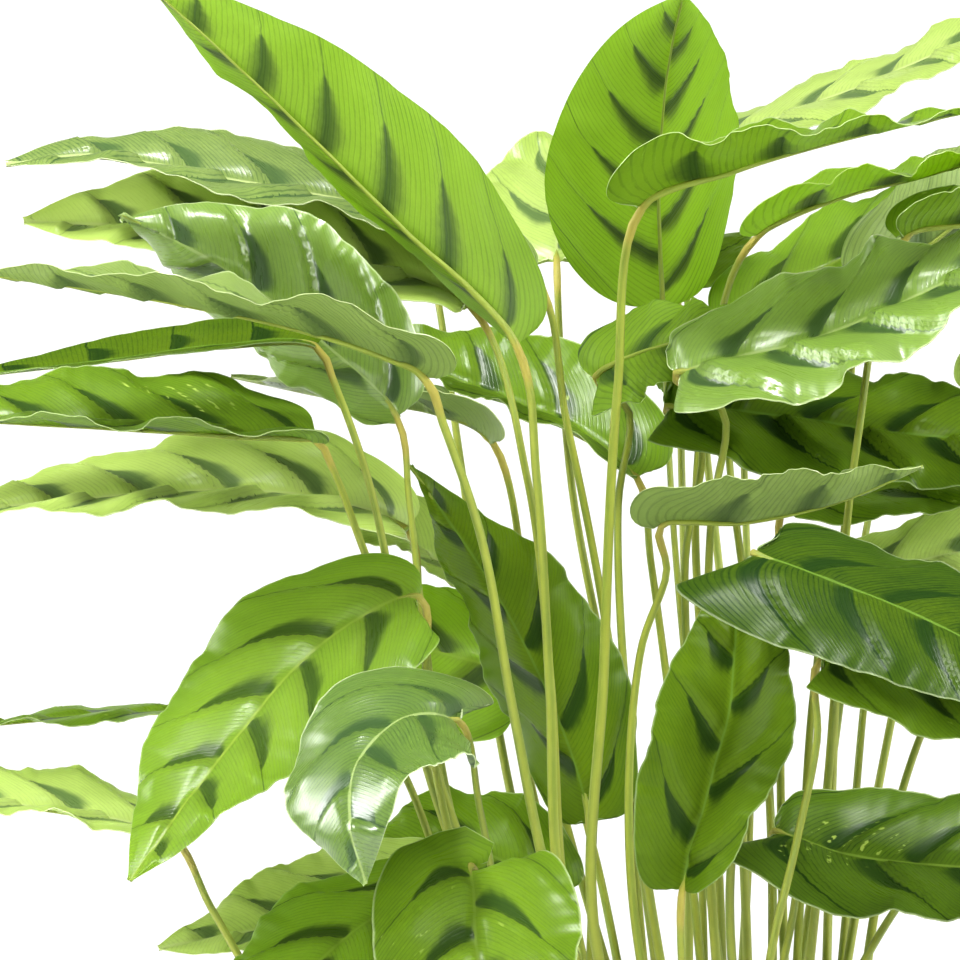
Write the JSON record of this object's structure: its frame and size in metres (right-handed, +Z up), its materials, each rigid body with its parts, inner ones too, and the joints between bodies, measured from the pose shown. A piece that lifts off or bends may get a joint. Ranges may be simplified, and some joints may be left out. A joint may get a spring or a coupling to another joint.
{
  "type": "potted calathea leopardina plant",
  "caption": "Potted prayer plant: long wavy-edged patterned leaves on slender petioles rising from soil in a plain tapered pot; stands on its base.",
  "frame": {"origin": "centre of the pot's flat base, where it rests", "axes": "+Z up the plant, -Y the plant's front, +X to the right seen from the front"},
  "size_m": [0.528, 0.49, 0.617],
  "materials": {
    "pot": "matt",
    "soil": "rough, crumbly",
    "leaf_top_left": "satin leaf underside",
    "leaf_top_centre": "satin leaf underside",
    "leaf_right_arching_high": "satin leaf underside",
    "leaf_right_top": "glossy leaf top",
    "leaf_right_second": "satin leaf underside",
    "leaf_right_backlit": "glossy leaf top",
    "leaf_right_veined": "satin leaf underside",
    "leaf_right_third": "satin leaf underside",
    "leaf_right_glossy": "glossy leaf top",
    "leaf_right_dark": "glossy leaf top",
    "leaf_right_low_bright": "glossy leaf top",
    "leaf_centre_sage": "satin leaf underside",
    "leaf_centre_fan": "satin leaf underside",
    "leaf_left_high_pale": "glossy leaf top",
    "leaf_left_second_pale": "glossy leaf top",
    "leaf_left_quilted": "glossy leaf top",
    "leaf_left_curled_sage": "satin leaf underside",
    "leaf_left_strip": "satin leaf underside",
    "leaf_left_bright": "glossy leaf top",
    "leaf_left_long_pale": "glossy leaf top",
    "leaf_centre_glossy": "glossy leaf top",
    "leaf_centre_ochre": "satin leaf underside",
    "leaf_back_pale": "glossy leaf top",
    "leaf_centre_dark": "glossy leaf top",
    "leaf_behind_left": "glossy leaf top",
    "leaf_behind_centre": "glossy leaf top",
    "leaf_left_drooping": "glossy leaf top",
    "leaf_front_sage": "glossy leaf top",
    "leaf_front_low": "glossy leaf top",
    "leaf_low_behind": "glossy leaf top",
    "leaf_low_left": "glossy leaf top",
    "leaf_low_left_pale": "glossy leaf top",
    "leaf_far_left_narrow": "glossy leaf top",
    "leaf_far_left_low": "glossy leaf top",
    "leaf_front_upright": "glossy leaf top",
    "leaf_right_broad": "glossy leaf top",
    "leaf_right_under": "glossy leaf top",
    "leaf_right_low": "glossy leaf top",
    "leaf_right_back_pale": "glossy leaf top",
    "leaf_far_right": "glossy leaf top",
    "leaf_far_right_back": "glossy leaf top",
    "leaf_far_right_low": "glossy leaf top",
    "leaf_far_right_front": "glossy leaf top",
    "leaf_back_mid": "glossy leaf top",
    "leaf_back_striped": "glossy leaf top",
    "leaf_back_left_high": "glossy leaf top",
    "leaf_back_right_low": "glossy leaf top",
    "leaf_back_left_low": "glossy leaf top",
    "leaf_back_right_high": "glossy leaf top",
    "leaf_back_centre_pale": "glossy leaf top",
    "leaf_back_low_left": "glossy leaf top",
    "leaf_back_low_right": "glossy leaf top",
    "leaf_front_lowest": "glossy leaf top",
    "leaf_front_right_lowest": "glossy leaf top",
    "leaf_left_lowest": "glossy leaf top"
  },
  "bodies": {
    "root": {"pot": "pot", "soil": "soil", "leaf_top_left": "leaf_top_left", "leaf_top_centre": "leaf_top_centre", "leaf_right_arching_high": "leaf_right_arching_high", "leaf_right_top": "leaf_right_top", "leaf_right_second": "leaf_right_second", "leaf_right_backlit": "leaf_right_backlit", "leaf_right_veined": "leaf_right_veined", "leaf_right_third": "leaf_right_third", "leaf_right_glossy": "leaf_right_glossy", "leaf_right_dark": "leaf_right_dark", "leaf_right_low_bright": "leaf_right_low_bright", "leaf_centre_sage": "leaf_centre_sage", "leaf_centre_fan": "leaf_centre_fan", "leaf_left_high_pale": "leaf_left_high_pale", "leaf_left_second_pale": "leaf_left_second_pale", "leaf_left_quilted": "leaf_left_quilted", "leaf_left_curled_sage": "leaf_left_curled_sage", "leaf_left_strip": "leaf_left_strip", "leaf_left_bright": "leaf_left_bright", "leaf_left_long_pale": "leaf_left_long_pale", "leaf_centre_glossy": "leaf_centre_glossy", "leaf_centre_ochre": "leaf_centre_ochre", "leaf_back_pale": "leaf_back_pale", "leaf_centre_dark": "leaf_centre_dark", "leaf_behind_left": "leaf_behind_left", "leaf_behind_centre": "leaf_behind_centre", "leaf_left_drooping": "leaf_left_drooping", "leaf_front_sage": "leaf_front_sage", "leaf_front_low": "leaf_front_low", "leaf_low_behind": "leaf_low_behind", "leaf_low_left": "leaf_low_left", "leaf_low_left_pale": "leaf_low_left_pale", "leaf_far_left_narrow": "leaf_far_left_narrow", "leaf_far_left_low": "leaf_far_left_low", "leaf_front_upright": "leaf_front_upright", "leaf_right_broad": "leaf_right_broad", "leaf_right_under": "leaf_right_under", "leaf_right_low": "leaf_right_low", "leaf_right_back_pale": "leaf_right_back_pale", "leaf_far_right": "leaf_far_right", "leaf_far_right_back": "leaf_far_right_back", "leaf_far_right_low": "leaf_far_right_low", "leaf_far_right_front": "leaf_far_right_front", "leaf_back_mid": "leaf_back_mid", "leaf_back_striped": "leaf_back_striped", "leaf_back_left_high": "leaf_back_left_high", "leaf_back_right_low": "leaf_back_right_low", "leaf_back_left_low": "leaf_back_left_low", "leaf_back_right_high": "leaf_back_right_high", "leaf_back_centre_pale": "leaf_back_centre_pale", "leaf_back_low_left": "leaf_back_low_left", "leaf_back_low_right": "leaf_back_low_right", "leaf_front_lowest": "leaf_front_lowest", "leaf_front_right_lowest": "leaf_front_right_lowest", "leaf_left_lowest": "leaf_left_lowest"}
  },
  "joints": []
}
